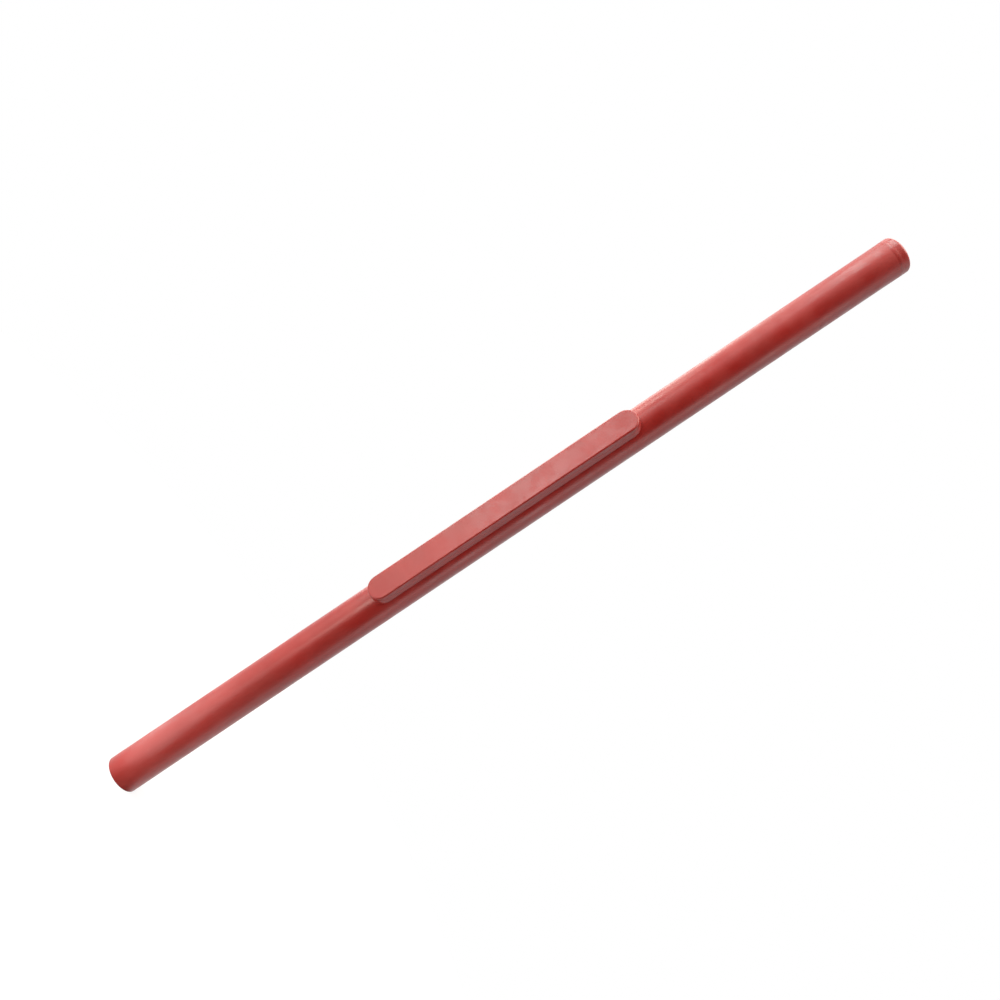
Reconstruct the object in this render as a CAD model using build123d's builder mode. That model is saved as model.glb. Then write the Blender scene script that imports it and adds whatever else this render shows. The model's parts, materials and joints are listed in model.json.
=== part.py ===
"""Long slip-over hand post driver: a welded steel tube with a weighted, capped top and a flat grip bar.

The tool stands as it is used, mouth down. +Z runs up the tube from the centre of the mouth, and the flat of
the grip bar faces -Y.
"""
from build123d import *
from math import sqrt
import os

os.makedirs("parts", exist_ok=True)

# ---- Driving dimensions, millimetres ----

# Tube: heavy 1-1/2 inch nominal steel pipe
overall_length = 1135.0
tube_diameter = 48.3
tube_wall = 4.0
mouth_outer_chamfer = 0.8
mouth_inner_chamfer = 0.5

# Striking cap and the weld round it
cap_thickness = 12.0
cap_edge_radius = 3.0
root_land = 1.0  # wall left unbevelled at the bottom of the cap weld's groove
cap_weld_crown = 0.15  # how far the dressed bead stands proud of the tube

# Weight inside the closed end
slug_length = 150.0
slug_seat_depth = 0.3  # the seat is bored this much deeper into the wall than the tube's own bore
slug_clearance = 0.15  # all round, between the slug and its seat
slug_chamfer = 2.0

# Plug welds through the tube wall into the slug: two on each side
plug_diameter = 12.0
plug_spacing = 80.0
plug_crown = 0.3  # how far each dressed plug stands proud of the tube

# Flat grip bar
grip_length = 384.0
grip_width = 32.0
grip_thickness = 8.0
grip_edge_radius = 2.4

# Weld that fills the groove between the flat bar and the round tube, dressed nearly flush
weld_height = 1.0  # up the bar's side
weld_belly = 0.35  # out from the bar's side, level with its underside
weld_toe = 0.5  # out from the bar's side, where the weld runs out on the tube
weld_gap = 7.0  # half the strip under the bar that the weld doesn't reach

# ---- Sizes that follow from them ----

tube_radius = tube_diameter / 2
bore_radius = tube_radius - tube_wall
seat_radius = bore_radius + slug_seat_depth
slug_radius = seat_radius - slug_clearance
tube_length = overall_length - cap_thickness
slug_base = tube_length - slug_length
plug_heights = [slug_base + slug_length / 2 + side * plug_spacing / 2 for side in (-1, 1)]
groove = tube_wall - root_land  # bevel on the tube and on the cap, which make the weld's groove
grip_middle = overall_length / 2
grip_straight = grip_length - grip_width  # between the centres of the bar's round ends
grip_half = grip_width / 2
toe_x = grip_half + weld_toe


def tube_surface(x):
    """How far the tube's surface stands towards the bar at x across it."""
    return sqrt(tube_radius**2 - x**2)


# ---- Tube ----

with BuildPart() as driver_tube:
    with BuildSketch():
        Circle(tube_radius)
        Circle(bore_radius, mode=Mode.SUBTRACT)
    extrude(amount=tube_length)
    rims = driver_tube.edges().filter_by(GeomType.CIRCLE).group_by(Axis.Z)
    chamfer(rims[0].sort_by(SortBy.RADIUS)[-1], mouth_outer_chamfer)
    chamfer(rims[0].sort_by(SortBy.RADIUS)[0], mouth_inner_chamfer)
    chamfer(rims[-1].sort_by(SortBy.RADIUS)[-1], groove)
    with BuildSketch(Plane.XY.offset(slug_base)):
        Circle(seat_radius)
    extrude(amount=slug_length, mode=Mode.SUBTRACT)
    for height in plug_heights:
        with BuildSketch(Plane.YZ.offset(-tube_diameter)):
            with Locations((0, height)):
                Circle(plug_diameter / 2)
        extrude(amount=2 * tube_diameter, mode=Mode.SUBTRACT)

driver_tube.part.label = "driver_tube"
export_step(driver_tube.part, "parts/driver_tube.step")

# ---- Striking cap ----

with BuildPart() as end_cap:
    with BuildSketch(Plane.XY.offset(tube_length)):
        Circle(tube_radius)
    extrude(amount=cap_thickness)
    chamfer(end_cap.edges().group_by(Axis.Z)[0], groove)
    fillet(end_cap.edges().group_by(Axis.Z)[-1], cap_edge_radius)

end_cap.part.label = "end_cap"
export_step(end_cap.part, "parts/end_cap.step")

# ---- Weld round the cap: it fills the groove and stands a little proud ----

with BuildPart() as cap_weld:
    with BuildSketch(Plane.XZ):
        with BuildLine():
            root = (tube_radius - groove, tube_length)
            lower = (tube_radius, tube_length - groove)
            upper = (tube_radius, tube_length + groove)
            Line(root, lower)
            ThreePointArc(lower, (tube_radius + cap_weld_crown, tube_length), upper)
            Line(upper, root)
        make_face()
    revolve(axis=Axis.Z)

cap_weld.part.label = "cap_weld"
export_step(cap_weld.part, "parts/cap_weld.step")

# ---- Weight inside the closed end ----

with BuildPart() as striker_slug:
    with BuildSketch(Plane.XY.offset(slug_base)):
        Circle(slug_radius)
    extrude(amount=slug_length)
    chamfer(striker_slug.edges().group_by(Axis.Z)[0], slug_chamfer)

striker_slug.part.label = "striker_slug"
export_step(striker_slug.part, "parts/striker_slug.step")

# ---- Plug welds: each fills its hole from the slug out to just past the tube's surface ----

with BuildPart() as slug_plug_welds:
    for height in plug_heights:
        with BuildSketch(Plane.YZ.offset(-tube_diameter)):
            with Locations((0, height)):
                Circle(plug_diameter / 2)
        extrude(amount=2 * tube_diameter)
    with BuildSketch():
        Circle(tube_radius + plug_crown)
    extrude(amount=tube_length, mode=Mode.INTERSECT)
    with BuildSketch():
        Circle(slug_radius)
    extrude(amount=tube_length, mode=Mode.SUBTRACT)

slug_plug_welds.part.label = "slug_plug_welds"
export_step(slug_plug_welds.part, "parts/slug_plug_welds.step")

# ---- Grip bar: flat bar laid along the tube, with full round ends ----

grip_face = Plane.XZ.offset(tube_radius)

with BuildPart() as grip_bar:
    with BuildSketch(grip_face):
        with Locations((0, grip_middle)):
            SlotOverall(grip_length, grip_width, rotation=90)
    extrude(amount=grip_thickness)
    fillet(grip_bar.faces().sort_by(Axis.Y)[0].edges(), grip_edge_radius)

grip_bar.part.label = "grip_bar"
export_step(grip_bar.part, "parts/grip_bar.step")

# ---- Long welds: each fills the groove under one side of the bar and laps up it ----

for name, side in (("grip_weld_left", -1), ("grip_weld_right", 1)):
    with BuildPart() as side_weld:
        with BuildSketch(Plane.XY.offset(grip_middle - grip_straight / 2)):
            with BuildLine():
                inner = (side * weld_gap, -tube_surface(weld_gap))
                under_bar = (side * weld_gap, -tube_radius)
                bar_corner = (side * grip_half, -tube_radius)
                bar_side = (side * grip_half, -tube_radius - weld_height)
                belly = (side * (grip_half + weld_belly), -tube_radius)
                toe = (side * toe_x, -tube_surface(toe_x))
                bottom_x = (weld_gap + toe_x) / 2
                Polyline(inner, under_bar, bar_corner, bar_side)
                ThreePointArc(bar_side, belly, toe)
                ThreePointArc(toe, (side * bottom_x, -tube_surface(bottom_x)), inner)
            make_face()
        extrude(amount=grip_straight)
    side_weld.part.label = name
    export_step(side_weld.part, f"parts/{name}.step")

# ---- End welds: the same bead carried round each end of the bar ----

for name, end in (("grip_weld_upper_end", 1), ("grip_weld_lower_end", -1)):
    centre_height = grip_middle + end * grip_straight / 2
    with BuildPart() as end_weld:
        with BuildSketch(Plane.XY.offset(centre_height)):
            with BuildLine():
                bar_side = (grip_half, -tube_radius - weld_height)
                belly = (grip_half + weld_belly, -tube_radius)
                toe = (toe_x, -tube_surface(toe_x))
                ThreePointArc(bar_side, belly, toe)
                Polyline(toe, (toe_x, 0), (grip_half, 0), bar_side)
            make_face()
        turn_axis = Axis((0, 0, centre_height), (0, 1, 0))
        revolve(axis=turn_axis, revolution_arc=-end * 180)
        with BuildSketch(Plane.XY.offset(centre_height - grip_width)):
            Circle(tube_radius)
        extrude(amount=2 * grip_width, mode=Mode.SUBTRACT)
    end_weld.part.label = name
    export_step(end_weld.part, f"parts/{name}.step")
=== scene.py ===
"""Visual model of a slim post driver: a red steel tube, capped and weighted at the top, with a grip bar.

The tool stands on its open mouth with +Z up the tube, and the flat of the bar faces -Y. Sizes are in
metres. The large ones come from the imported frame, and each class names its own small ones.
"""

import json
import logging
import math
from dataclasses import asdict, dataclass, replace
from enum import Enum
from typing import Any, Callable, Sequence

import bmesh
import bpy
import numpy as np
from bpy.types import ID, Material, Mesh, Node, NodeSocket, NodeTree, Object
from mathutils import Matrix, Vector

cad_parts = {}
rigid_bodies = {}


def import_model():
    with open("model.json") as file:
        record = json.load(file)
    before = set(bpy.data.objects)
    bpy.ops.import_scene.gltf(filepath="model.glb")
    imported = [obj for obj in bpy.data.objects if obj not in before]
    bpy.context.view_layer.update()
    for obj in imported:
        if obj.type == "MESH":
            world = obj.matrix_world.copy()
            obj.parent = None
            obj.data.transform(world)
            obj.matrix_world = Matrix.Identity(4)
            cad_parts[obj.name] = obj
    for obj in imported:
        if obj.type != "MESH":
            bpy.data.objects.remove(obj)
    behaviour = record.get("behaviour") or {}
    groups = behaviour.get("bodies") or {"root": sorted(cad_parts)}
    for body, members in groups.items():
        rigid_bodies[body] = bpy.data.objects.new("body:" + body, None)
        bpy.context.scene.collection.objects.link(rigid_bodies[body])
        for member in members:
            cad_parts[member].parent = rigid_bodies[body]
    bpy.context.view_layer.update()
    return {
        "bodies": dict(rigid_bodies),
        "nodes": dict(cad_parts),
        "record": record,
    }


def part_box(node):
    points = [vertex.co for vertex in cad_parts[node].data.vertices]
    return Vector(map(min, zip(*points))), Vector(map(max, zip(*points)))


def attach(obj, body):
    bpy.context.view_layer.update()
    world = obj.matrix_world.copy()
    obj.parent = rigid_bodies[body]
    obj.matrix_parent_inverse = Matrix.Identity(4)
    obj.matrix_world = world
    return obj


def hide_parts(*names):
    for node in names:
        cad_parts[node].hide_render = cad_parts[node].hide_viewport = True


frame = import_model()

log = logging.getLogger("post_driver")

MM = 0.001
ROOT_BODY = next(iter(frame["bodies"]))

# Between the slug and its seat, all round.
SLUG_CLEARANCE = 0.15 * MM

# Edges sharper than these stay sharp.
TURNED_CREASE_DEG = 35.0
BAR_CREASE_DEG = 40.0
WELD_CREASE_DEG = 50.0

Pair = tuple[float, float]
Colour = tuple[float, float, float, float]
WHITE: Colour = (1.0, 1.0, 1.0, 1.0)


class Slot(Enum):
    """The record's material slots."""

    RED_PAINT = "red_paint"
    PAINTED_WELD = "painted_weld"
    BARE_STEEL = "bare_steel"


class BarSide(Enum):
    """The side of the grip bar that a long weld lies on."""

    LEFT = -1
    RIGHT = 1


class BarEnd(Enum):
    """The end of the grip bar that a short weld runs round."""

    LOWER = -1
    UPPER = 1


# ---- Sizes ----


@dataclass(frozen=True)
class ToolSizes:
    """The tool's measures, read from the frame."""

    tube_radius: float
    tube_top: float
    bore_radius: float
    seat_radius: float
    slug_base: float
    slug_radius: float
    overall: float
    groove: float
    cap_bead_radius: float
    plug_radius: float
    plug_face: float
    plug_low: float
    plug_high: float
    bar_half: float
    bar_face: float
    bar_low: float
    bar_high: float
    weld_top: float
    weld_gap: float
    weld_toe: float

    @classmethod
    def from_frame(cls) -> "ToolSizes":
        """Reads the measures from the boxes of the nodes and from the bore mount.

        Returns:
            The filled-in sizes.
        """
        tube_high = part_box("driver_tube")[1]
        cap_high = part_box("end_cap")[1]
        bead_low, bead_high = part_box("cap_weld")
        slug_low, slug_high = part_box("striker_slug")
        plug_low, plug_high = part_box("slug_plug_welds")
        bar_low, bar_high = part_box("grip_bar")
        weld_low, weld_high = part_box("grip_weld_right")
        bore = next(m for m in frame["record"]["mounts"] if m["name"] == "post_bore")
        plug_radius = (plug_high.y - plug_low.y) / 2
        return cls(
            tube_radius=tube_high.x,
            tube_top=tube_high.z,
            bore_radius=bore["dims"]["r_mm"] * MM,
            seat_radius=slug_high.x + SLUG_CLEARANCE,
            slug_base=slug_low.z,
            slug_radius=slug_high.x,
            overall=cap_high.z,
            groove=(bead_high.z - bead_low.z) / 2,
            cap_bead_radius=bead_high.x,
            plug_radius=plug_radius,
            plug_face=plug_high.x,
            plug_low=plug_low.z + plug_radius,
            plug_high=plug_high.z - plug_radius,
            bar_half=bar_high.x,
            bar_face=bar_low.y,
            bar_low=bar_low.z,
            bar_high=bar_high.z,
            weld_top=weld_low.y,
            weld_gap=weld_low.x,
            weld_toe=weld_high.x,
        )

    @property
    def bar_straight(self) -> Pair:
        """Lowest and highest height of the bar's straight sides."""
        return self.bar_low + self.bar_half, self.bar_high - self.bar_half

    def tube_surface(self, x: np.ndarray | float) -> np.ndarray | float:
        """The y of the tube's near surface at x across it."""
        return -np.sqrt(self.tube_radius**2 - np.square(x))


# ---- Meshes ----


def ring_faces(count: int, size: int, closed: bool) -> list[tuple[int, ...]]:
    """Faces that join rings of points into one closed surface.

    Args:
        count: Number of rings.
        size: Number of points on each ring.
        closed: True joins the last ring to the first, and False closes both ends with a flat face.

    Returns:
        The corner numbers of each face.
    """
    faces: list[tuple[int, ...]] = []
    for i in range(count if closed else count - 1):
        here, there = i * size, (i + 1) % count * size
        for j in range(size):
            k = (j + 1) % size
            faces.append((here + j, here + k, there + k, there + j))
    if not closed:
        faces.append(tuple(range(size - 1, -1, -1)))
        faces.append(tuple((count - 1) * size + j for j in range(size)))
    return faces


def add_object(name: str, data: ID) -> Object:
    """Puts a mesh, a lamp or a camera in the scene.

    Args:
        name: The object's name.
        data: The mesh, lamp or camera.

    Returns:
        The new object, at the origin.
    """
    made = bpy.data.objects.new(name, data)
    bpy.context.scene.collection.objects.link(made)
    return made


def make_object(
    name: str, rings: np.ndarray, closed: bool, crease_deg: float = TURNED_CREASE_DEG
) -> Object:
    """Makes a mesh object from rings of points, with outward faces, smooth apart from its sharp edges.

    Args:
        name: The piece's name.
        rings: Points as (ring, point on ring, xyz), in the row frame. Each ring is a closed loop.
        closed: True joins the last ring to the first, and False closes both ends with a flat face.
        crease_deg: Edges sharper than this stay sharp.

    Returns:
        The new object, at the origin.
    """
    mesh = bpy.data.meshes.new(name)
    mesh.from_pydata(rings.reshape(-1, 3).tolist(), [], ring_faces(*rings.shape[:2], closed))
    turned = bmesh.new()
    turned.from_mesh(mesh)
    bmesh.ops.recalc_face_normals(turned, faces=turned.faces)
    turned.to_mesh(mesh)
    turned.free()
    shade(mesh, crease_deg)
    return add_object(name, mesh)


def shade(mesh: Mesh, crease_deg: float) -> None:
    """Smooths a mesh and marks its sharp edges.

    Args:
        mesh: The mesh to change.
        crease_deg: Edges sharper than this stay sharp.
    """
    mesh.polygons.foreach_set("use_smooth", [True] * len(mesh.polygons))
    mesh.set_sharp_from_angle(angle=math.radians(crease_deg))
    mesh.update()


def dress(made: Object, *materials: Material) -> None:
    """Gives an object these materials and no others.

    Args:
        made: The object.
        materials: The materials, in order.
    """
    made.data.materials.clear()
    for material in materials:
        made.data.materials.append(material)


def store_value(made: Object, name: str, values: np.ndarray) -> None:
    """Keeps a value for each point of a mesh.

    Args:
        made: The object.
        name: The attribute's name.
        values: One number or one vector for each point.
    """
    is_vector = values.ndim == 2
    attribute = made.data.attributes.new(name, "FLOAT_VECTOR" if is_vector else "FLOAT", "POINT")
    attribute.data.foreach_set("vector" if is_vector else "value", values.astype(np.float32).ravel())


def settle(made: Object, crease_deg: float = TURNED_CREASE_DEG) -> None:
    """Turns an object's modifiers into plain mesh and removes them.

    Args:
        made: The object to change.
        crease_deg: Edges sharper than this stay sharp.
    """
    bpy.context.view_layer.update()
    graph = bpy.context.evaluated_depsgraph_get()
    plain = bpy.data.meshes.new_from_object(made.evaluated_get(graph), depsgraph=graph)
    made.modifiers.clear()
    spent = made.data
    made.data = plain
    bpy.data.meshes.remove(spent)
    plain.name = made.name
    shade(plain, crease_deg)


def arc(centre: Pair, radius: float, start_deg: float, end_deg: float, steps: int) -> list[Pair]:
    """Points along an arc, both ends included.

    Args:
        centre: The arc's centre.
        radius: The arc's radius.
        start_deg: Angle of the first point, from the first axis towards the second.
        end_deg: Angle of the last point.
        steps: Number of chords.

    Returns:
        steps + 1 points.
    """
    turns = np.radians(np.linspace(start_deg, end_deg, steps + 1))
    return [(centre[0] + radius * math.cos(t), centre[1] + radius * math.sin(t)) for t in turns]


def full_turn(count: int) -> np.ndarray:
    """Angles that divide a full turn into count even steps."""
    return np.arange(count) * 2 * math.pi / count


def turn_profile(profile: Sequence[Pair], segments: int) -> np.ndarray:
    """Turns a closed (radius, height) loop round the tube's axis.

    Args:
        profile: The loop's points.
        segments: Number of steps in the full turn.

    Returns:
        Rings as (step, profile point, xyz).
    """
    loop = np.array(profile)
    turns = full_turn(segments)
    x = np.outer(np.cos(turns), loop[:, 0])
    y = np.outer(np.sin(turns), loop[:, 0])
    z = np.broadcast_to(loop[:, 1], x.shape)
    return np.stack([x, y, z], axis=-1)


def stack_circles(profile: Sequence[Pair], segments: int) -> np.ndarray:
    """Stacks a circle at each (radius, height) of an open profile.

    Args:
        profile: Radius and height of each circle, from the lowest up.
        segments: Points on each circle.

    Returns:
        Rings as (circle, point, xyz).
    """
    return turn_profile(profile, segments).transpose(1, 0, 2)


# ---- Node trees ----

Inputs = dict[str | int, Any]


class Socket(Enum):
    """Kinds of socket on a node group."""

    FLOAT = "NodeSocketFloat"
    VECTOR = "NodeSocketVector"
    GEOMETRY = "NodeSocketGeometry"
    MATERIAL = "NodeSocketMaterial"


class Wiring:
    """Adds nodes to one tree and links them, so that a recipe reads as a list of steps."""

    def __init__(self, tree: NodeTree) -> None:
        """Keeps the tree to work on."""
        self.tree = tree

    def feed(self, node: Node, inputs: Inputs) -> None:
        """Sets or links inputs of a node.

        Args:
            node: The node.
            inputs: Value or source socket of each input, by the input's name or number.
        """
        for key, value in inputs.items():
            if isinstance(value, NodeSocket):
                self.tree.links.new(value, node.inputs[key])
            else:
                node.inputs[key].default_value = value

    def add(self, kind: str, inputs: Inputs | None = None, **settings: Any) -> Node:
        """Adds a node.

        Args:
            kind: The node's type name.
            inputs: Value or source socket of each input, by the input's name or number.
            settings: Properties of the node, such as operation.

        Returns:
            The new node.
        """
        node = self.tree.nodes.new(kind)
        for key, value in settings.items():
            setattr(node, key, value)
        self.feed(node, inputs or {})
        return node

    def group(self, tree: NodeTree, inputs: Inputs) -> Any:
        """Adds a shader group and returns its outputs."""
        return self.add("ShaderNodeGroup", inputs, node_tree=tree).outputs

    def math(self, operation: str, *values: Any) -> NodeSocket:
        """Adds a math node in a shader or geometry tree and returns its result."""
        return self.add("ShaderNodeMath", dict(enumerate(values)), operation=operation).outputs[0]

    def vector_math(self, operation: str, inputs: Inputs, result: str = "Vector") -> NodeSocket:
        """Adds a vector math node and returns one of its results, Vector or Value."""
        return self.add("ShaderNodeVectorMath", inputs, operation=operation).outputs[result]

    def noise(self, where: Any, scale: Any, detail: float = 2.0, seed: Any = 0.0) -> NodeSocket:
        """Adds a noise texture.

        Args:
            where: The point to read, a socket.
            scale: Waves to the metre.
            detail: Octaves of finer noise.
            seed: Picks another pattern.

        Returns:
            The noise value, about 0.5 on average.
        """
        inputs = {"Vector": where, "W": seed, "Scale": scale, "Detail": detail}
        return self.add("ShaderNodeTexNoise", inputs, noise_dimensions="4D").outputs["Fac"]

    def span(
        self, value: Any, low: float, high: float, to_low: float = 0.0, to_high: float = 1.0
    ) -> NodeSocket:
        """Maps a value from one span smoothly to another.

        Args:
            value: The value, a socket.
            low: Value that gives to_low.
            high: Value that gives to_high.
            to_low: Result at low.
            to_high: Result at high.

        Returns:
            The mapped value.
        """
        inputs = {"Value": value, 1: low, 2: high, 3: to_low, 4: to_high}
        return self.add("ShaderNodeMapRange", inputs, interpolation_type="SMOOTHSTEP").outputs[0]

    def blend(self, share: Any, first: Any, second: Any) -> NodeSocket:
        """Mixes two numbers by the share of the second."""
        return self.add("ShaderNodeMix", {0: share, 2: first, 3: second}).outputs[0]

    def blend_colours(self, share: Any, first: Any, second: Any) -> NodeSocket:
        """Mixes two colours by the share of the second."""
        return self.add("ShaderNodeMix", {0: share, 6: first, 7: second}, data_type="RGBA").outputs[2]


def new_group(
    name: str, kind: str, inputs: dict[str, Socket | float], outputs: dict[str, Socket]
) -> tuple[Wiring, Any, Node]:
    """Makes an empty node group with named sockets.

    Args:
        name: The group's name.
        kind: ShaderNodeTree or GeometryNodeTree.
        inputs: Kind of each input by its name, or the default of one that takes a number.
        outputs: Kind of each output by its name.

    Returns:
        The wiring, the sockets that bring the group's inputs and the node that takes its outputs.
    """
    tree = bpy.data.node_groups.new(name, kind)
    for label, given in inputs.items():
        socket = given if isinstance(given, Socket) else Socket.FLOAT
        made = tree.interface.new_socket(label, in_out="INPUT", socket_type=socket.value)
        if given is not socket:
            made.default_value = given
    for label, socket in outputs.items():
        tree.interface.new_socket(label, in_out="OUTPUT", socket_type=socket.value)
    wiring = Wiring(tree)
    return wiring, wiring.add("NodeGroupInput").outputs, wiring.add("NodeGroupOutput")


class ShaderGroups:
    """The effects that more than one finish uses, each built once."""

    def __init__(self) -> None:
        """Builds every group."""
        self.orange_peel = self._orange_peel()
        self.blotches = self._blotches()
        self.edge_rub = self._edge_rub()
        self.dust = self._dust()

    @staticmethod
    def _start(name: str, numbers: dict[str, float], outputs: Sequence[str]) -> tuple[Wiring, Any, Node]:
        """Makes a group that reads a point and some numbers, and gives numbers."""
        inputs = {"Vector": Socket.VECTOR, **numbers}
        return new_group(name, "ShaderNodeTree", inputs, dict.fromkeys(outputs, Socket.FLOAT))

    def _orange_peel(self) -> NodeTree:
        """The fine ripple of sprayed enamel, as a height.

        Returns:
            The group.
        """
        wiring, given, result = self._start("orange_peel", {"Size": 2.0 * MM, "Flow": 0.5}, ["Height"])
        scale = wiring.math("DIVIDE", 1.0, given["Size"])
        fine = wiring.noise(given["Vector"], scale, detail=1.5)
        long_scale = wiring.math("MULTIPLY", scale, 0.12)
        long_waves = wiring.noise(given["Vector"], long_scale, detail=1.0, seed=4.0)
        flowed = wiring.math("MULTIPLY", long_waves, given["Flow"])
        wiring.feed(result, {"Height": wiring.math("ADD", fine, flowed)})
        return wiring.tree

    def _blotches(self) -> NodeTree:
        """Slow variation in how thick and how glossy the paint lies.

        Returns:
            The group.
        """
        numbers = {"Size": 60.0 * MM, "Seed": 0.0}
        wiring, given, result = self._start("paint_blotches", numbers, ["Tone", "Gloss"])
        scale = wiring.math("DIVIDE", 1.0, given["Size"])
        tone = wiring.noise(given["Vector"], scale, detail=3.0, seed=given["Seed"])
        gloss_scale = wiring.math("MULTIPLY", scale, 2.7)
        gloss_seed = wiring.math("ADD", given["Seed"], 9.0)
        gloss = wiring.noise(given["Vector"], gloss_scale, seed=gloss_seed)
        wiring.feed(result, {"Tone": wiring.span(tone, 0.35, 0.65), "Gloss": wiring.span(gloss, 0.3, 0.7)})
        return wiring.tree

    def _edge_rub(self) -> NodeTree:
        """Where outer edges are rubbed, broken up by noise.

        Returns:
            The group.
        """
        numbers = {"Chip Size": 3.0 * MM, "Reach": 0.5}
        wiring, given, result = self._start("edge_rub", numbers, ["Thin", "Chipped"])
        pointed = wiring.add("ShaderNodeNewGeometry").outputs["Pointiness"]
        edge = wiring.span(pointed, 0.505, 0.56)
        scale = wiring.math("DIVIDE", 1.0, given["Chip Size"])
        ragged = wiring.noise(given["Vector"], scale, detail=4.0, seed=2.0)
        reach = wiring.math("MULTIPLY", edge, given["Reach"])
        chipped = wiring.span(wiring.math("ADD", ragged, reach), 0.98, 1.04)
        thin = wiring.math("MULTIPLY", edge, ragged)
        wiring.feed(result, {"Thin": thin, "Chipped": wiring.math("MULTIPLY", chipped, edge)})
        return wiring.tree

    def _dust(self) -> NodeTree:
        """A thin, uneven film of pale dust.

        Returns:
            The group.
        """
        wiring, given, result = self._start("dust_film", {"Amount": 0.03}, ["Share"])
        cloud = wiring.noise(given["Vector"], 22.0, detail=5.0, seed=6.0)
        specks = wiring.noise(given["Vector"], 900.0, detail=1.0, seed=7.0)
        spread = wiring.math("ADD", wiring.span(cloud, 0.3, 0.75), wiring.span(specks, 0.68, 0.8))
        wiring.feed(result, {"Share": wiring.math("MULTIPLY", spread, given["Amount"])})
        return wiring.tree


# ---- Finishes ----

Surface = tuple[Inputs, NodeSocket, float]


@dataclass(frozen=True)
class Finish:
    """What the tool's finishes share: one shader, read in object coordinates, with a little relief."""

    name: str

    def surface(self, wiring: Wiring, where: NodeSocket, groups: ShaderGroups) -> Surface:
        """Adds the nodes that make the finish what it is.

        Args:
            wiring: The material's wiring.
            where: Object coordinates.
            groups: The shared effects.

        Returns:
            The shader's inputs, and the height and depth of the relief.
        """
        raise NotImplementedError

    def build(self, groups: ShaderGroups) -> Material:
        """Builds the material.

        Args:
            groups: The shared effects.

        Returns:
            The material.
        """
        material = bpy.data.materials.new(self.name)
        material.use_nodes = True
        wiring = Wiring(material.node_tree)
        where = wiring.add("ShaderNodeTexCoord").outputs["Object"]
        inputs, height, depth = self.surface(wiring, where, groups)
        bump = wiring.add("ShaderNodeBump", {"Height": height, "Distance": depth})
        inputs["Normal"] = bump.outputs["Normal"]
        wiring.feed(material.node_tree.nodes["Principled BSDF"], inputs)
        return material


@dataclass(frozen=True)
class RedEnamel(Finish):
    """Satin red enamel over steel."""

    colour: Colour = (0.425, 0.0205, 0.0158, 1.0)
    thin_colour: Colour = (0.380, 0.0180, 0.0135, 1.0)
    steel: Colour = (0.23, 0.21, 0.20, 1.0)
    dust_colour: Colour = (0.62, 0.52, 0.47, 1.0)
    ior: float = 1.60
    roughness: float = 0.34
    roughness_swing: float = 0.05
    rub_roughness: float = 0.1
    peel_size: float = 2.2 * MM
    peel_depth: float = 0.007 * MM
    blotch_size: float = 60.0 * MM
    chip_reach: float = 0.30
    dust: float = 0.03
    seed: float = 0.0

    def surface(self, wiring: Wiring, where: NodeSocket, groups: ShaderGroups) -> Surface:
        """Adds the nodes of the enamel.

        Args:
            wiring: The material's wiring.
            where: Object coordinates.
            groups: The shared effects.

        Returns:
            The shader's inputs, and the height and depth of the relief.
        """
        inputs = {"Vector": where, "Size": self.blotch_size, "Seed": self.seed}
        blotch = wiring.group(groups.blotches, inputs)
        rub = wiring.group(groups.edge_rub, {"Vector": where, "Reach": self.chip_reach})
        film = wiring.group(groups.dust, {"Vector": where, "Amount": self.dust})
        peel = wiring.group(groups.orange_peel, {"Vector": where, "Size": self.peel_size})
        paint = wiring.blend_colours(blotch["Tone"], self.thin_colour, self.colour)
        worn = wiring.blend_colours(rub["Chipped"], paint, self.steel)
        dusty = wiring.blend_colours(film["Share"], worn, self.dust_colour)
        smoothest, roughest = self.roughness - self.roughness_swing, self.roughness + self.roughness_swing
        gloss = wiring.span(blotch["Gloss"], 0.0, 1.0, smoothest, roughest)
        rough = wiring.math("ADD", gloss, wiring.math("MULTIPLY", rub["Thin"], self.rub_roughness))
        return {"Base Color": dusty, "Roughness": rough, "IOR": self.ior}, peel["Height"], self.peel_depth


@dataclass(frozen=True)
class BoreSteel(Finish):
    """The inside of the tube: enamel drifted in past the mouth, then dark drawn steel."""

    paint: Colour = (0.400, 0.0170, 0.0150, 1.0)
    steel: Colour = (0.110, 0.098, 0.090, 1.0)
    scale_tint: Colour = (0.055, 0.047, 0.043, 1.0)
    paint_reach: float = 34.0 * MM
    paint_fade: float = 30.0 * MM
    line_scale: tuple[float, float, float] = (900.0, 900.0, 18.0)
    metallic: float = 0.8
    relief: float = 0.02 * MM

    def surface(self, wiring: Wiring, where: NodeSocket, groups: ShaderGroups) -> Surface:
        """Adds the nodes of the bore's wall.

        Args:
            wiring: The material's wiring.
            where: Object coordinates.
            groups: The shared effects.

        Returns:
            The shader's inputs, and the height and depth of the relief.
        """
        depth = wiring.add("ShaderNodeSeparateXYZ", {"Vector": where}).outputs["Z"]
        drift = wiring.noise(where, 160.0, detail=4.0, seed=3.0)
        ragged = wiring.math("MULTIPLY_ADD", drift, self.paint_fade, depth)
        bare = wiring.span(ragged, self.paint_reach, self.paint_reach + self.paint_fade)
        lines = wiring.add("ShaderNodeMapping", {"Vector": where, "Scale": self.line_scale})
        drawn = wiring.noise(lines.outputs["Vector"], 1.0, seed=5.0)
        metal = wiring.blend_colours(wiring.span(drawn, 0.35, 0.7), self.scale_tint, self.steel)
        inputs = {
            "Base Color": wiring.blend_colours(bare, self.paint, metal),
            "Metallic": wiring.math("MULTIPLY", bare, self.metallic),
            "Roughness": wiring.span(drawn, 0.2, 0.8, 0.42, 0.62),
        }
        peel = wiring.group(groups.orange_peel, {"Vector": where})
        return inputs, wiring.math("ADD", peel["Height"], drawn), self.relief


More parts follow.
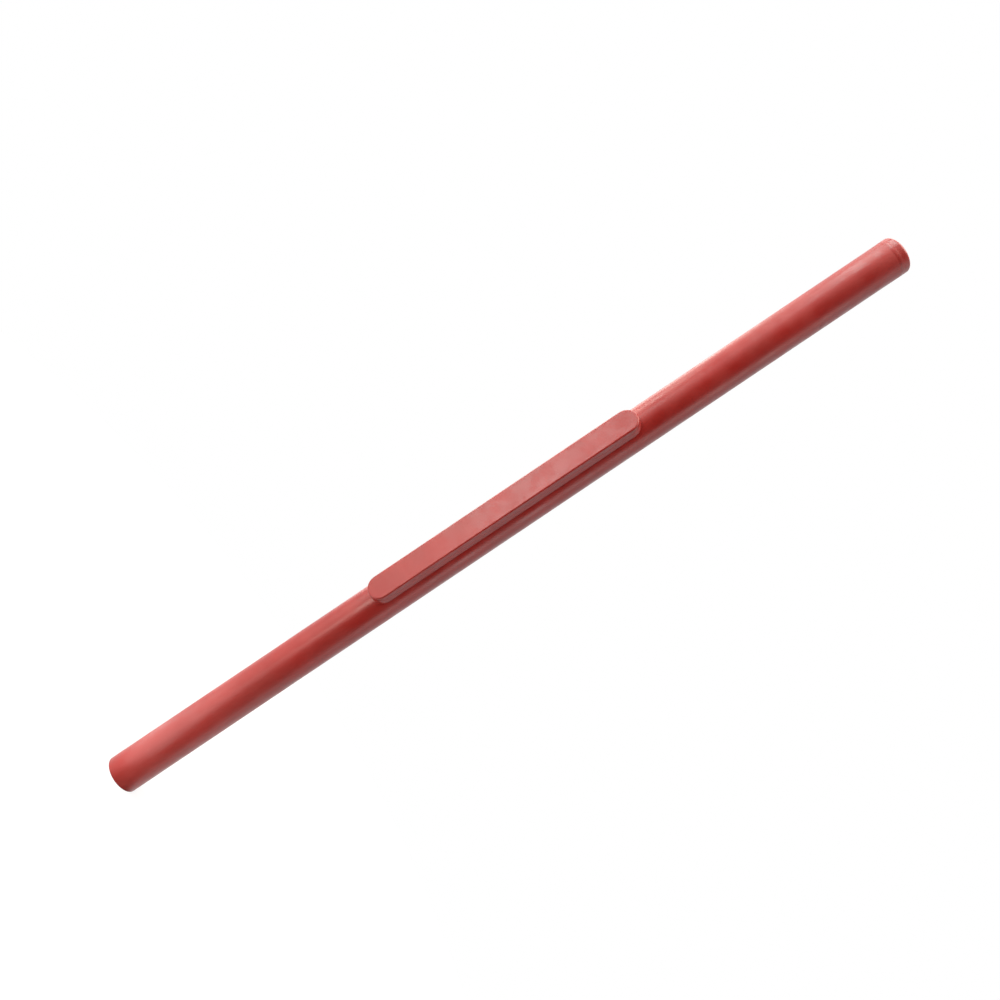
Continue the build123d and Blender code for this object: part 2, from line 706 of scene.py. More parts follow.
@dataclass(frozen=True)
class TurnedSteel(Finish):
    """Bare steel faced in a lathe, bruised where it lands on posts."""

    colour: Colour = (0.36, 0.34, 0.32, 1.0)
    bruise: Colour = (0.16, 0.145, 0.135, 1.0)
    bruise_size: float = 9.0 * MM
    ring_pitch: float = 0.6 * MM
    relief: float = 0.01 * MM

    def surface(self, wiring: Wiring, where: NodeSocket, groups: ShaderGroups) -> Surface:
        """Adds the nodes of the slug's face.

        Args:
            wiring: The material's wiring.
            where: Object coordinates.
            groups: The shared effects.

        Returns:
            The shader's inputs, and the height and depth of the relief.
        """
        flat = wiring.vector_math("MULTIPLY", {0: where, 1: (1.0, 1.0, 0.0)})
        radius = wiring.vector_math("LENGTH", {0: flat}, "Value")
        rings = wiring.math("SINE", wiring.math("MULTIPLY", radius, 2 * math.pi / self.ring_pitch))
        blotch = wiring.group(groups.blotches, {"Vector": where, "Size": self.bruise_size})
        inputs = {
            "Base Color": wiring.blend_colours(blotch["Tone"], self.bruise, self.colour),
            "Metallic": 1.0,
            "Roughness": wiring.span(blotch["Gloss"], 0.0, 1.0, 0.32, 0.55),
        }
        return inputs, rings, self.relief


class Finishes:
    """Every material of the tool, built once."""

    def __init__(self) -> None:
        """Builds the shared effects and the materials."""
        groups = ShaderGroups()
        self.tube = RedEnamel("red_enamel_tube").build(groups)
        bar = RedEnamel("red_enamel_bar", blotch_size=38.0 * MM, peel_depth=0.02 * MM, seed=3.0)
        self.bar = bar.build(groups)
        self.cap = RedEnamel("red_enamel_cap", blotch_size=30.0 * MM, seed=5.0).build(groups)
        self.weld = RedEnamel("red_enamel_weld", peel_size=1.4 * MM, seed=7.0).build(groups)
        self.bore = BoreSteel("bore_steel").build(groups)
        self.slug = TurnedSteel("turned_steel").build(groups)


# ---- Geometry Nodes ----


@dataclass(frozen=True)
class Ripples:
    """The relief of a weld. Each field is also an input of the weld trees, by the same name."""

    pitch: float = 3.0 * MM
    height: float = 0.11 * MM
    crescent: float = 2.4 * MM
    wander: float = 1.4 * MM
    lump: float = 0.18 * MM
    seed: float = 31.0


class WeldTrees:
    """The node trees that turn smooth weld blanks into rippled beads."""

    RIPPLE_INPUTS: dict[str, Socket | float] = {"Geometry": Socket.GEOMETRY, **asdict(Ripples())}

    def __init__(self) -> None:
        """Builds the trees."""
        self.ripple = self._ripple()
        self.bead = self._bead()
        self.plugs = self._plugs()

    @staticmethod
    def _start(name: str, inputs: dict[str, Socket | float]) -> tuple[Wiring, Any, Node]:
        """Makes a tree that gives geometry."""
        return new_group(name, "GeometryNodeTree", inputs, {"Geometry": Socket.GEOMETRY})

    def _ripple(self) -> NodeTree:
        """Lifts each point of a blank by the ripples of its weld.

        The blank's points hold run, the distance along the weld; across, from 0 at one toe to 1 at the
        other; and lift, the direction out of the weld.

        Returns:
            The group.
        """
        wiring, given, result = self._start("weld_ripple", self.RIPPLE_INPUTS)
        run, across, lift = (
            wiring.add("GeometryNodeInputNamedAttribute", {"Name": name}, data_type=kind).outputs[0]
            for name, kind in (("run", "FLOAT"), ("across", "FLOAT"), ("lift", "FLOAT_VECTOR"))
        )
        place = wiring.add("GeometryNodeInputPosition").outputs[0]
        off_middle = wiring.math("MULTIPLY_ADD", across, 2.0, -1.0)
        squared = wiring.math("MULTIPLY", off_middle, off_middle)
        fade = wiring.math("SUBTRACT", 1.0, wiring.math("MULTIPLY", squared, squared))
        bow = wiring.math("MULTIPLY", squared, given["crescent"])
        shift_noise = wiring.noise(place, 90.0, detail=1.0, seed=given["seed"])
        shift = wiring.math("MULTIPLY", wiring.math("SUBTRACT", shift_noise, 0.5), given["wander"])
        along = wiring.math("ADD", wiring.math("ADD", run, bow), shift)
        phase = wiring.math("MULTIPLY", wiring.math("DIVIDE", along, given["pitch"]), math.pi)
        hump = wiring.math("ABSOLUTE", wiring.math("SINE", phase))
        ripple = wiring.math("MULTIPLY", wiring.math("SUBTRACT", hump, 0.6), given["height"])
        lump_noise = wiring.noise(place, 140.0, seed=wiring.math("ADD", given["seed"], 5.0))
        lump = wiring.math("MULTIPLY", wiring.math("SUBTRACT", lump_noise, 0.5), given["lump"])
        rise = wiring.math("MULTIPLY", wiring.math("ADD", ripple, lump), fade)
        offset = wiring.vector_math("SCALE", {0: lift, "Scale": rise})
        moved = wiring.add("GeometryNodeSetPosition", {"Geometry": given["Geometry"], "Offset": offset})
        wiring.feed(result, {"Geometry": moved.outputs[0]})
        return wiring.tree

    def _rippled(self, wiring: Wiring, given: Any) -> NodeSocket:
        """Places the ripple group in another tree, fed by that tree's own inputs of the same names."""
        inputs = {label: given[label] for label in self.RIPPLE_INPUTS}
        return wiring.add("GeometryNodeGroup", inputs, node_tree=self.ripple).outputs["Geometry"]

    @staticmethod
    def _end(wiring: Wiring, given: Any, result: Node, shape: NodeSocket) -> None:
        """Ends a tree in Realize Instances and Set Material.

        Args:
            wiring: The tree's wiring.
            given: The sockets that bring its inputs.
            result: The node that takes its outputs.
            shape: The geometry so far.
        """
        solid = wiring.add("GeometryNodeRealizeInstances", {"Geometry": shape}).outputs[0]
        inputs = {"Geometry": solid, "Material": given["material"]}
        wiring.feed(result, {"Geometry": wiring.add("GeometryNodeSetMaterial", inputs).outputs[0]})

    def _bead(self) -> NodeTree:
        """One rippled bead.

        Returns:
            The tree.
        """
        inputs = {**self.RIPPLE_INPUTS, "material": Socket.MATERIAL}
        wiring, given, result = self._start("weld_bead", inputs)
        self._end(wiring, given, result, self._rippled(wiring, given))
        return wiring.tree

    def _plugs(self) -> NodeTree:
        """The same plug set at two heights on each side of the tube.

        Returns:
            The tree.
        """
        inputs = {**self.RIPPLE_INPUTS, "low": 1.0, "spacing": 0.08, "material": Socket.MATERIAL}
        wiring, given, result = self._start("plug_pattern", inputs)
        low = wiring.add("ShaderNodeCombineXYZ", {"Z": given["low"]}).outputs[0]
        step = wiring.add("ShaderNodeCombineXYZ", {"Z": given["spacing"]}).outputs[0]
        places = {"Count": 2, "Start Location": low, "Offset": step}
        line = wiring.add("GeometryNodeMeshLine", places, mode="OFFSET").outputs[0]
        plug = self._rippled(wiring, given)
        one_side = wiring.add("GeometryNodeInstanceOnPoints", {"Points": line, "Instance": plug}).outputs[0]
        solid = wiring.add("GeometryNodeRealizeInstances", {"Geometry": one_side}).outputs[0]
        half_turn = {"Geometry": solid, "Rotation": (0.0, 0.0, math.pi)}
        turned = wiring.add("GeometryNodeTransform", half_turn).outputs[0]
        both = wiring.add("GeometryNodeJoinGeometry")
        for side in (solid, turned):
            wiring.feed(both, {0: side})
        self._end(wiring, given, result, both.outputs[0])
        return wiring.tree


def grow(made: Object, tree: NodeTree, ripples: Ripples, material: Material, **more: float) -> None:
    """Runs a weld tree on a blank and keeps its result as plain mesh.

    Args:
        made: The object that holds the blank.
        tree: The tree to run.
        ripples: The weld's relief.
        material: The weld's finish.
        more: The tree's other inputs, by name.
    """
    values = {**asdict(ripples), "material": material, **more}
    modifier = made.modifiers.new(tree.name, "NODES")
    modifier.node_group = tree
    for item in tree.interface.items_tree:
        if item.item_type == "SOCKET" and item.in_out == "INPUT" and item.name in values:
            modifier[item.identifier] = values[item.name]
    settle(made, WELD_CREASE_DEG)


# ---- Sub-assemblies ----


@dataclass
class Piece:
    """A finished piece and what it stands for."""

    made: Object
    slot: Slot
    replaces: str | None = None

    def hand_over(self) -> None:
        """Hides the node that the piece replaces, if any, makes the piece ride on the tool and logs its
        faces.
        """
        if self.replaces:
            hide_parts(self.replaces)
        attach(self.made, ROOT_BODY)
        log.info("%s: %d faces", self.made.name, len(self.made.data.polygons))


@dataclass
class TubeAssembly:
    """The tube, its striking cap, the ring of weld between them, the slug and its plug welds."""

    sizes: ToolSizes
    finishes: Finishes
    trees: WeldTrees
    segments: int = 160
    row_height: float = 24.0 * MM
    mouth_bevel: float = 0.8 * MM
    mouth_inner_bevel: float = 0.5 * MM
    mouth_steps: int = 6
    bore_margin: float = 0.5 * MM
    cap_round: float = 3.0 * MM
    cap_round_steps: int = 10
    cap_face_shares: tuple[float, ...] = (0.97, 0.6, 0.2)
    bead_steps: int = 10
    bead_segments: int = 480
    bead_ripples: Ripples = Ripples(
        pitch=2.6 * MM, height=0.012 * MM, crescent=1.6 * MM, wander=0.8 * MM, lump=0.02 * MM, seed=11.0
    )
    cutter_points: int = 48
    plug_points: int = 64
    plug_rings: int = 12
    plug_middle: float = 0.08
    plug_ripples: Ripples = Ripples(
        pitch=2.0 * MM, height=0.10 * MM, crescent=0.0, wander=0.8 * MM, lump=0.15 * MM, seed=23.0
    )

    def build(self) -> list[Piece]:
        """Builds every piece.

        Returns:
            The pieces.
        """
        return [self._tube(), self._cap(), self._cap_bead(), self._plug_welds(), self._slug()]

    def _rows(self, low: float, high: float) -> list[float]:
        """Heights that divide a stretch into even rows, its ends left out."""
        count = max(2, round((high - low) / self.row_height))
        return list(np.linspace(low, high, count + 1)[1:-1])

    def _wall_profile(self) -> list[Pair]:
        """The tube wall's outline as (radius, height), starting at the bore's mouth.

        Returns:
            The closed outline.
        """
        s = self.sizes
        bore, seat, outer = s.bore_radius, s.seat_radius, s.tube_radius
        bevel = self.mouth_bevel
        inside = [(bore, self.mouth_inner_bevel)]
        inside += [(bore, z) for z in self._rows(self.mouth_inner_bevel, s.slug_base)]
        inside += [(bore, s.slug_base), (seat, s.slug_base), (seat, s.tube_top)]
        top = [(outer - s.groove, s.tube_top), (outer, s.tube_top - s.groove)]
        outside = [(outer, z) for z in reversed(self._rows(bevel, s.tube_top - s.groove))]
        mouth = arc((outer - bevel, bevel), bevel, 0.0, -90.0, self.mouth_steps)
        rim = [(bore + self.mouth_inner_bevel, 0.0)]
        return inside + top + outside + mouth + rim

    def _tube(self) -> Piece:
        """The tube, with the holes that the plug welds fill.

        Returns:
            The piece.
        """
        s = self.sizes
        wall = turn_profile(self._wall_profile(), self.segments)
        made = make_object("driver_tube_shell", wall, closed=True)
        cutters = [self._plug_cutter(height) for height in (s.plug_low, s.plug_high)]
        for cutter in cutters:
            cut = made.modifiers.new("plug_hole", "BOOLEAN")
            cut.operation = "DIFFERENCE"
            cut.solver = "EXACT"
            cut.object = cutter
        settle(made)
        for cutter in cutters:
            bpy.data.meshes.remove(cutter.data)
        self._paint_tube(made)
        return Piece(made, Slot.RED_PAINT, "driver_tube")

    def _plug_cutter(self, height: float) -> Object:
        """A long bar across the tube, as thick as a plug weld.

        Args:
            height: The bar's height.

        Returns:
            The bar.
        """
        s = self.sizes
        reach = 2 * s.tube_radius
        rings = stack_circles([(s.plug_radius, -reach), (s.plug_radius, reach)], self.cutter_points)
        across = np.stack([rings[..., 2], rings[..., 0], rings[..., 1] + height], axis=-1)
        return make_object("plug_cutter", across, closed=False)

    def _paint_tube(self, made: Object) -> None:
        """Gives the outside of the tube its enamel and the bore its own finish.

        Args:
            made: The tube.
        """
        dress(made, self.finishes.tube, self.finishes.bore)
        inner = (self.sizes.seat_radius + self.bore_margin) ** 2
        for face in made.data.polygons:
            centre = face.center
            in_bore = centre.x**2 + centre.y**2 < inner and centre.z > self.mouth_inner_bevel
            face.material_index = 1 if in_bore else 0

    def _cap(self) -> Piece:
        """The striking cap, with a rounded top edge.

        Returns:
            The piece.
        """
        s = self.sizes
        outer, top = s.tube_radius, s.overall
        shoulder = (outer - self.cap_round, top - self.cap_round)
        profile = [(outer - s.groove, s.tube_top), (outer, s.tube_top + s.groove)]
        profile += [(outer, (s.tube_top + s.groove + shoulder[1]) / 2)]
        profile += arc(shoulder, self.cap_round, 0.0, 90.0, self.cap_round_steps)
        profile += [(shoulder[0] * share, top) for share in self.cap_face_shares]
        made = make_object("striking_cap", stack_circles(profile, self.segments), closed=False)
        dress(made, self.finishes.cap)
        return Piece(made, Slot.RED_PAINT, "end_cap")

    def _cap_bead(self) -> Piece:
        """The ring of weld in the groove between the tube and the cap.

        Returns:
            The piece.
        """
        s = self.sizes
        crown = s.cap_bead_radius - s.tube_radius
        share = np.linspace(0.0, 1.0, self.bead_steps + 1)
        radius = s.tube_radius + crown * np.sin(math.pi * share)
        height = s.tube_top - s.groove + 2 * s.groove * share
        profile = [*zip(radius, height), (s.tube_radius - s.groove, s.tube_top)]
        made = make_object("cap_weld_bead", turn_profile(profile, self.bead_segments), closed=True)
        turns = np.repeat(full_turn(self.bead_segments), len(profile))
        store_value(made, "run", turns * s.tube_radius)
        store_value(made, "across", np.tile([*share, 0.0], self.bead_segments))
        store_value(made, "lift", np.stack([np.cos(turns), np.sin(turns), 0 * turns], axis=1))
        around = 2 * math.pi * s.tube_radius
        whole_pitch = around / round(around / self.bead_ripples.pitch)
        ripples = replace(self.bead_ripples, pitch=whole_pitch)
        grow(made, self.trees.bead, ripples, self.finishes.weld)
        return Piece(made, Slot.PAINTED_WELD, "cap_weld")

    def _plug_blank(self) -> Object:
        """A smooth plug weld through the wall on the +X side, centred at height 0.

        Returns:
            The blank, with the values that its ripples need.
        """
        s = self.sizes
        crown = s.plug_face - s.tube_radius
        turns = full_turn(self.plug_points)
        rings, run = [], []
        face_shares = np.linspace(1.0, self.plug_middle, self.plug_rings)
        for share, is_back in [(1.0, True), *((share, False) for share in face_shares)]:
            y = s.plug_radius * share * np.cos(turns)
            z = s.plug_radius * share * np.sin(turns)
            base = s.slug_radius if is_back else s.tube_radius
            x = np.sqrt(base**2 - y**2) + (0.0 if is_back else crown * (1 - share**2))
            rings.append(np.stack([x, y, z], axis=1))
            run.append(np.full(self.plug_points, s.plug_radius * share))
        made = make_object("slug_plug_beads", np.array(rings), closed=False)
        radius = np.concatenate(run)
        edge = np.minimum(1.0, radius / s.plug_radius)
        spiral = np.tile(turns, len(rings)) / (2 * math.pi) * self.plug_ripples.pitch
        store_value(made, "run", radius + spiral)
        store_value(made, "across", 0.5 + 0.5 * edge)
        store_value(made, "lift", np.tile([1.0, 0.0, 0.0], (len(radius), 1)))
        return made

    def _plug_welds(self) -> Piece:
        """The four plug welds that hold the slug.

        Returns:
            The piece.
        """
        made = self._plug_blank()
        low, spacing = self.sizes.plug_low, self.sizes.plug_high - self.sizes.plug_low
        grow(made, self.trees.plugs, self.plug_ripples, self.finishes.weld, low=low, spacing=spacing)
        return Piece(made, Slot.PAINTED_WELD, "slug_plug_welds")

    def _slug(self) -> Piece:
        """The slug, whose own shape is right and only takes a finish.

        Returns:
            The piece.
        """
        made = frame["nodes"]["striker_slug"]
        dress(made, self.finishes.slug)
        return Piece(made, Slot.BARE_STEEL)


@dataclass(frozen=True)
class WeldPath:
    """The stretch of the bar's outline that a weld follows.

    Attributes:
        root: The outline as (point, x and z).
        out: Its outward direction, the same shape.
        run: Distance along the weld of each point.
        is_filled: True fills the gap under the bar too.
    """

    root: np.ndarray
    out: np.ndarray
    run: np.ndarray
    is_filled: bool


@dataclass
class GripAssembly:
    """The flat grip bar and the four stretches of weld round it."""

    sizes: ToolSizes
    finishes: Finishes
    trees: WeldTrees
    end_steps: int = 48
    side_rows: int = 60
    edge_round: float = 2.4 * MM
    foot_round: float = 0.6 * MM
    round_steps: int = 10
    face_insets: Pair = (0.4 * MM, 4.0 * MM)
    weld_step: float = 0.5 * MM
    weld_belly: float = 0.35 * MM
    weld_tuck: float = 0.3 * MM
    face_steps: int = 16
    toe_halvings: int = 40
    ripples: Ripples = Ripples()

    def build(self) -> list[Piece]:
        """Builds every piece.

        Returns:
            The pieces.
        """
        pieces = [self._bar()]
        pieces += [self._side_weld(side) for side in BarSide]
        pieces += [self._end_weld(end) for end in BarEnd]
        return pieces

    def _outline(self, inset: float) -> np.ndarray:
        """The bar's outline, drawn in by inset, as (point, x and z).

        Args:
            inset: How far inside the bar's own outline.

        Returns:
            The closed outline.
        """
        s = self.sizes
        radius = s.bar_half - inset
        low, high = s.bar_straight
        top = np.radians(np.linspace(0.0, 180.0, self.end_steps + 1))
        upper = np.stack([radius * np.cos(top), high + radius * np.sin(top)], axis=1)
        lower = np.stack([-radius * np.cos(top), low - radius * np.sin(top)], axis=1)
        rows = np.linspace(high, low, self.side_rows + 1)[1:-1]
        left = np.stack([np.full(len(rows), -radius), rows], axis=1)
        right = np.stack([np.full(len(rows), radius), rows[::-1]], axis=1)
        return np.concatenate([upper, left, lower, right])

    def _bar(self) -> Piece:
        """The flat bar, with full round ends and eased edges.

        Returns:
            The piece.
        """
        s = self.sizes
        levels = [(self.foot_round, -s.tube_radius)]
        levels += [(0.0, -s.tube_radius - self.foot_round), (0.0, s.bar_face + self.edge_round)]
        for turn in np.radians(np.linspace(0.0, 90.0, self.round_steps + 1))[1:]:
            inset = self.edge_round * (1 - math.cos(turn))
            levels.append((inset, s.bar_face + self.edge_round * (1 - math.sin(turn))))
        levels += [(self.edge_round + inset, s.bar_face) for inset in self.face_insets]
        rings = np.array([np.insert(self._outline(inset), 1, y, axis=1) for inset, y in levels])
        made = make_object("grip_bar_flat", rings, closed=False, crease_deg=BAR_CREASE_DEG)
        dress(made, self.finishes.bar)
        return Piece(made, Slot.RED_PAINT, "grip_bar")

    def _face_arc(self) -> Callable[[np.ndarray], tuple[np.ndarray, np.ndarray]]:
        """The arc of the weld's face: from the bar's side, out past its foot, to the tube.

        Returns:
            A function that gives (distance out from the bar's side, y) for a share of the arc.
        """
        s = self.sizes
        toe = s.weld_toe - s.bar_half
        first = np.array([0.0, s.weld_top])
        middle = np.array([self.weld_belly, -s.tube_radius])
        last = np.array([toe, s.tube_surface(s.weld_toe)])
        sides = np.array([middle - first, last - first])
        square = np.array([middle @ middle - first @ first, last @ last - first @ first]) / 2
        centre = np.linalg.solve(sides, square)
        radius = np.linalg.norm(first - centre)
        start, end = (math.atan2(*(p - centre)[::-1]) for p in (first, last))

        def at(share: np.ndarray) -> tuple[np.ndarray, np.ndarray]:
            """Where the arc is at a share of its length."""
            turn = start + (end - start) * share
            return centre[0] + radius * np.cos(turn), centre[1] + radius * np.sin(turn)

        return at

    def _toe_share(self, path: WeldPath) -> np.ndarray:
        """The share of the face's arc at which it meets the tube, for each point of a weld's run.

        Args:
            path: The weld's path.

        Returns:
            One share for each point.
        """
        s = self.sizes
        at = self._face_arc()
        low, high = np.zeros(len(path.root)), np.ones(len(path.root))
        for _ in range(self.toe_halvings):
            middle = (low + high) / 2
            away, y = at(middle)
            x = np.clip(path.root[:, 0] + path.out[:, 0] * away, -s.tube_radius, s.tube_radius)
            is_outside = y < s.tube_surface(x)
            low, high = np.where(is_outside, middle, low), np.where(is_outside, high, middle)
        return low

    def _weld(self, node: str, path: WeldPath) -> Piece:
        """A weld along part of the bar's outline: a smooth blank, which then gets its ripples.

        Args:
            node: The node that the weld replaces.
            path: The weld's path.

        Returns:
            The piece.
        """
        at = self._face_arc()
        toe = self._toe_share(path)
        shares = np.linspace(0.0, 1.0, self.face_steps + 1)
        face = []
        for share in shares:
            away, y = at(toe * share)
            face.append(np.insert(path.root + path.out * away[:, None], 1, y, axis=1))
        under = self._under_points(path)
        rings = np.array([*face, *under]).transpose(1, 0, 2)
        made = make_object(f"{node}_bead", rings, closed=False, crease_deg=WELD_CREASE_DEG)
        ends = np.array(at(np.array([0.0, 1.0])))
        chord = ends[:, 1] - ends[:, 0]
        outward = np.array([chord[1], -chord[0]]) / np.linalg.norm(chord)
        lift = np.zeros(rings.shape)
        lift[:, : len(face)] = np.insert(path.out * outward[0], 1, outward[1], axis=1)[:, None]
        store_value(made, "run", np.repeat(path.run, rings.shape[1]))
        store_value(made, "across", np.tile([*shares, *np.zeros(len(under))], len(rings)))
        store_value(made, "lift", lift.reshape(-1, 3))
        grow(made, self.trees.bead, self.ripples, self.finishes.weld)
        return Piece(made, Slot.PAINTED_WELD, node)

    def _under_points(self, path: WeldPath) -> list[np.ndarray]:
        """The hidden side of a weld: over the tube and back up the bar's side.

        Args:
            path: The weld's path.

        Returns:
            One row of points along the weld for each corner of the hidden side.
        """
        s = self.sizes
        x, height = path.root.T

        def row(across: np.ndarray, y: np.ndarray) -> np.ndarray:
            """A row of points level with the root."""
            return np.stack([across, y, height], axis=1)

        if not path.is_filled:
            return [row(x, s.tube_surface(x))]
        side = np.sign(x)
        toe_x = side * (s.weld_toe - self.weld_tuck)
        gap_x = side * s.weld_gap
        on_tube = [toe_x + (gap_x - toe_x) * share for share in (0.25, 0.5, 0.75, 1.0)]
        foot = np.full(len(x), -s.tube_radius)
        return [*(row(place, s.tube_surface(place)) for place in on_tube), row(gap_x, foot), row(x, foot)]

    def _side_weld(self, side: BarSide) -> Piece:
        """The long weld on one side of the bar.

        Args:
            side: Which side.

        Returns:
            The piece.
        """
        s = self.sizes
        low, high = s.bar_straight
        heights = np.linspace(low, high, round((high - low) / self.weld_step) + 1)
        root = np.stack([np.full(len(heights), side.value * s.bar_half), heights], axis=1)
        out = np.tile([float(side.value), 0.0], (len(heights), 1))
        return self._weld(f"grip_weld_{side.name.lower()}", WeldPath(root, out, heights, is_filled=True))

    def _end_weld(self, end: BarEnd) -> Piece:
        """The weld round one end of the bar.

        Args:
            end: Which end.

        Returns:
            The piece.
        """
        s = self.sizes
        turns = np.linspace(0.0, math.pi, round(math.pi * s.bar_half / self.weld_step) + 1)
        out = np.stack([np.cos(turns), end.value * np.sin(turns)], axis=1)
        centre = s.bar_straight[(end.value + 1) // 2]
        root = out * s.bar_half + np.array([0.0, centre])
        run = centre + turns * s.bar_half
        return self._weld(f"grip_weld_{end.name.lower()}_end", WeldPath(root, out, run, is_filled=False))


# ---- Studio ----

# The dark side of the studio is full where the cosine of the angle from its middle is above the second
# number, and has faded out below the first.
DARK_SPAN = (0.48, 0.94)
UP = Vector((0.0, 0.0, 1.0))


def level_way(azimuth: float) -> Vector:
    """The level direction from the tube towards an azimuth, in degrees round from -Y towards +X."""
    turn = math.radians(azimuth)
    return Vector((math.sin(turn), -math.cos(turn), 0.0))


@dataclass(frozen=True)
class DarkSide:
    """The studio's dark side, which gives the glossy paint its dark band: a dim part of the world, and a
    painted dark reflection in the floor's glow.
    """

    azimuth: float = 50.0
    level: float = 0.02

    def fade(self, wiring: Wiring, way: NodeSocket, bright: float) -> NodeSocket:
        """How bright the studio is along a direction.

        Args:
            wiring: The wiring to add the nodes to.
            way: The direction, of length 1.
            bright: The brightness away from the dark side.

        Returns:
            The brightness.
        """
        inputs = {0: way, 1: tuple(level_way(self.azimuth))}
        facing = wiring.vector_math("DOT_PRODUCT", inputs, "Value")
        return wiring.span(facing, *DARK_SPAN, bright, self.level)


@dataclass(frozen=True)
class StudioWhite:
    """White for the floor, which keeps a soft shadow and shows glossy paint the studio's dark side, painted
    into its glow as a dark reflection.
    """

    name: str
    dark_side: DarkSide
    glow: float = 0.88
    colour: Colour = (0.65, 0.65, 0.65, 1.0)
    seen_colour: Colour = (0.25, 0.25, 0.25, 1.0)

    def build(self) -> Material:
        """Builds the material.

        Returns:
            The material.
        """
        material = bpy.data.materials.new(self.name)
        material.use_nodes = True
        material.node_tree.nodes.clear()
        wiring = Wiring(material.node_tree)
        path = wiring.add("ShaderNodeLightPath").outputs
        seen = wiring.math("MAXIMUM", path["Is Camera Ray"], path["Is Glossy Ray"])
        plain = wiring.add("ShaderNodeBsdfDiffuse", {"Color": self.colour})
        shaded = wiring.add("ShaderNodeBsdfDiffuse", {"Color": self.seen_colour})
        where = wiring.add("ShaderNodeTexCoord").outputs["Object"]
        # Painted dark reflection: to glossy rays the floor's glow is painted dark on the studio's dark
        # side, where no dark thing stands, so the tube's lower paint reflects a dark band.
        mirrored = self.dark_side.fade(wiring, wiring.vector_math("NORMALIZE", {0: where}), self.glow)
        level = wiring.blend(path["Is Camera Ray"], mirrored, self.glow)
        glow = wiring.add("ShaderNodeEmission", {"Color": WHITE, "Strength": level})
        bright = wiring.add("ShaderNodeAddShader", {0: shaded.outputs[0], 1: glow.outputs[0]})
        mixed = wiring.add("ShaderNodeMixShader", {0: seen, 1: plain.outputs[0], 2: bright.outputs[0]})
        wiring.add("ShaderNodeOutputMaterial", {"Surface": mixed.outputs[0]})
        return material


@dataclass(frozen=True)
class SoftBox:
    """A square-on studio soft box, aimed at the tube's axis: level, unless it has a height to aim at."""

    name: str
    azimuth: float
    height: float
    distance: float
    width: float
    tall: float
    watts: float
    tint: tuple[float, float, float]
    aim_height: float | None = None

    def build(self) -> None:
        """Hangs the lamp."""
        lamp = bpy.data.lights.new(self.name, "AREA")
        lamp.shape = "RECTANGLE"
        lamp.size = self.width
        lamp.size_y = self.tall
        lamp.energy = self.watts
        lamp.color = self.tint
        made = add_object(self.name, lamp)
        made.location = level_way(self.azimuth) * self.distance + UP * self.height
        aim_height = self.height if self.aim_height is None else self.aim_height
        aim = UP * aim_height - made.location
        made.rotation_euler = aim.to_track_quat("-Z", "Y").to_euler()
        made.visible_camera = False


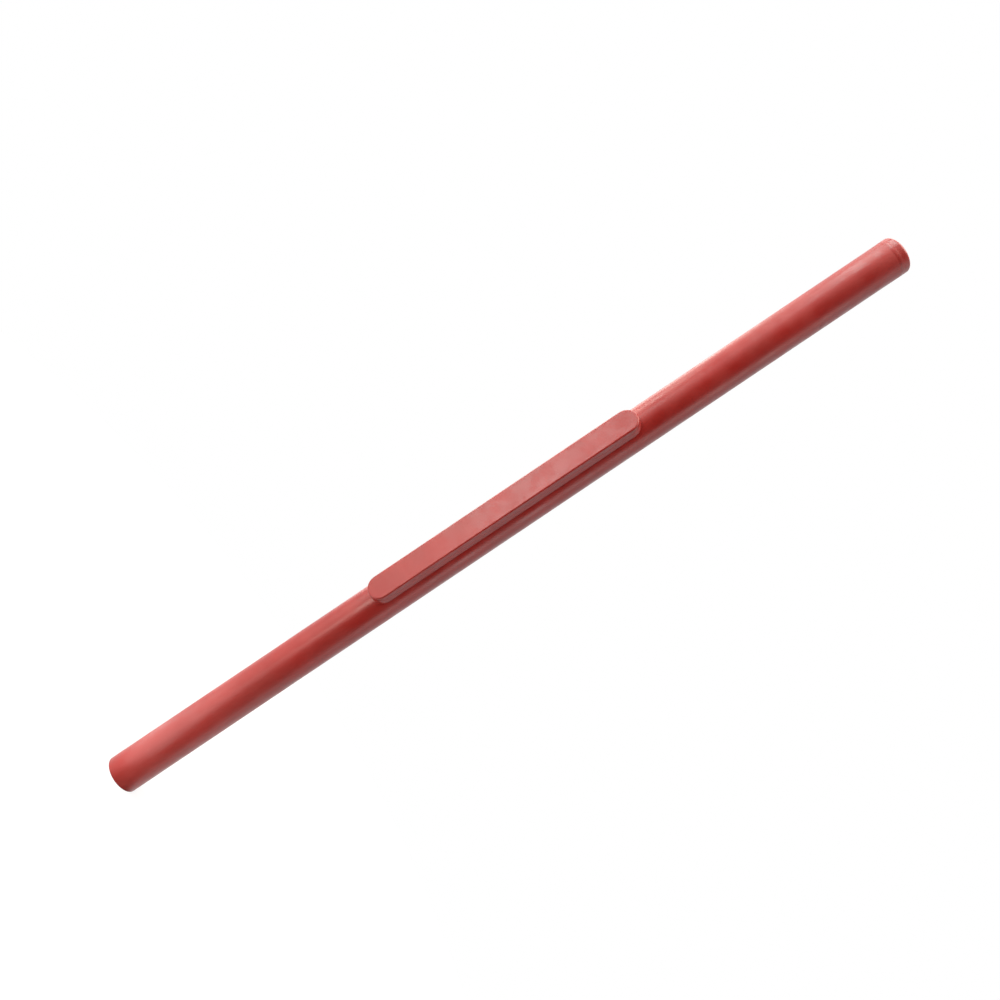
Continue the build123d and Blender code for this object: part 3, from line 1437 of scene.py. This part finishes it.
@dataclass
class Studio:
    """White floor and surround, soft boxes and the camera."""

    sizes: ToolSizes
    camera_azimuth: float = 30.0
    camera_distance: float = 1.075
    lens: float = 31.8
    sensor_width: float = 36.0
    tilt_deg: float = 33.87
    shift_right: float = -0.0119
    shift_up: float = 0.0177
    floor_radius: float = 0.9
    floor_points: int = 96
    dark_side: DarkSide = DarkSide()
    room_level: float = 0.06

    def build(self) -> None:
        """Sets the whole studio up."""
        self._floor(StudioWhite("floor_white", self.dark_side).build())
        self._world()
        for box in self._boxes():
            box.build()
        self._camera()
        bpy.context.scene.view_settings.view_transform = "Standard"

    def _floor(self, white: Material) -> None:
        """The round floor that the tool stands on.

        Args:
            white: The floor's material.
        """
        radius = self.floor_radius
        points = [(radius * math.cos(t), radius * math.sin(t), 0.0) for t in full_turn(self.floor_points)]
        mesh = bpy.data.meshes.new("floor")
        mesh.from_pydata(points, [], [tuple(range(self.floor_points))])
        mesh.materials.append(white)
        add_object("floor", mesh)

    def _world(self) -> None:
        """A white surround with the dark side in it, round a dim room."""
        world = bpy.data.worlds.new("surround")
        bpy.context.scene.world = world
        world.use_nodes = True
        world.node_tree.nodes.clear()
        wiring = Wiring(world.node_tree)
        path = wiring.add("ShaderNodeLightPath").outputs
        towards = wiring.add("ShaderNodeTexCoord").outputs["Generated"]
        mirrored = self.dark_side.fade(wiring, towards, 1.0)
        lit = wiring.blend(path["Is Glossy Ray"], self.room_level, mirrored)
        level = wiring.blend(path["Is Camera Ray"], lit, 1.0)
        white = wiring.add("ShaderNodeBackground", {"Color": WHITE, "Strength": level})
        wiring.add("ShaderNodeOutputWorld", {"Surface": white.outputs[0]})

    def _boxes(self) -> list[SoftBox]:
        """The lamps: rim boxes, front boxes, low ones for the mouth end, two opposite and one above.

        Returns:
            The soft boxes.
        """
        warm = (1.0, 0.84, 0.72)
        mild = (1.0, 1.0, 0.90)
        cool = (0.80, 1.0, 0.96)
        middle = self.sizes.overall / 2
        return [
            SoftBox("rim_box", -112.0, 0.80, 1.5, 0.50, 1.40, 7.0, mild),
            SoftBox("rim_high_box", -90.0, 1.42, 1.5, 0.52, 0.70, 1.8, mild),
            SoftBox("rim_top_box", -108.0, 2.05, 0.95, 0.90, 0.70, 5.2, mild, 0.75),
            SoftBox("side_box", -65.0, 0.75, 1.5, 0.52, 0.75, 9.8, mild),
            SoftBox("front_box", -25.0, 0.75, 1.5, 0.52, 0.60, 4.6, cool),
            SoftBox("cap_front_box", -47.0, 1.96, 1.5, 1.50, 0.42, 14.0, cool),
            SoftBox("low_box", -45.0, 0.28, 1.5, 0.90, 0.50, 2.9, mild),
            SoftBox("low_front_box", -5.0, 0.28, 1.5, 0.52, 0.50, 5.0, warm),
            SoftBox("mouth_box", -28.0, 0.04, 0.155, 0.35, 0.20, 0.26, cool, 0.41),
            SoftBox("far_box", 100.0, 0.50, 1.5, 0.52, 0.90, 2.3, cool),
            SoftBox("far_high_box", 105.0, 1.42, 1.5, 0.60, 0.70, 1.5, warm),
            SoftBox("top_box", 0.0, 2.60, 0.6, 1.20, 1.20, 38.0, warm, middle),
        ]

    def _camera(self) -> None:
        """The camera, level with the tool's middle and rolled so that the tool lies across the view."""
        data = bpy.data.cameras.new("camera")
        data.lens = self.lens
        data.sensor_width = self.sensor_width
        camera = add_object("camera", data)
        bpy.context.scene.camera = camera
        back = level_way(self.camera_azimuth)
        level = Vector((-back.y, back.x, 0.0))
        tilt = math.radians(self.tilt_deg)
        right = level * math.sin(tilt) + UP * math.cos(tilt)
        top = UP * math.sin(tilt) - level * math.cos(tilt)
        middle = UP * (self.sizes.overall / 2)
        shift = right * self.shift_right + top * self.shift_up
        camera.location = middle + back * self.camera_distance + shift
        camera.rotation_euler = Matrix([[right[i], top[i], back[i]] for i in range(3)]).to_euler()


def main() -> None:
    """Builds the tool and its studio in order."""
    logging.basicConfig(level=logging.INFO, format="%(name)s %(message)s")
    sizes = ToolSizes.from_frame()
    finishes = Finishes()
    trees = WeldTrees()
    for assembly in (TubeAssembly(sizes, finishes, trees), GripAssembly(sizes, finishes, trees)):
        for piece in assembly.build():
            piece.hand_over()
    Studio(sizes).build()


if __name__ == "__main__":
    main()
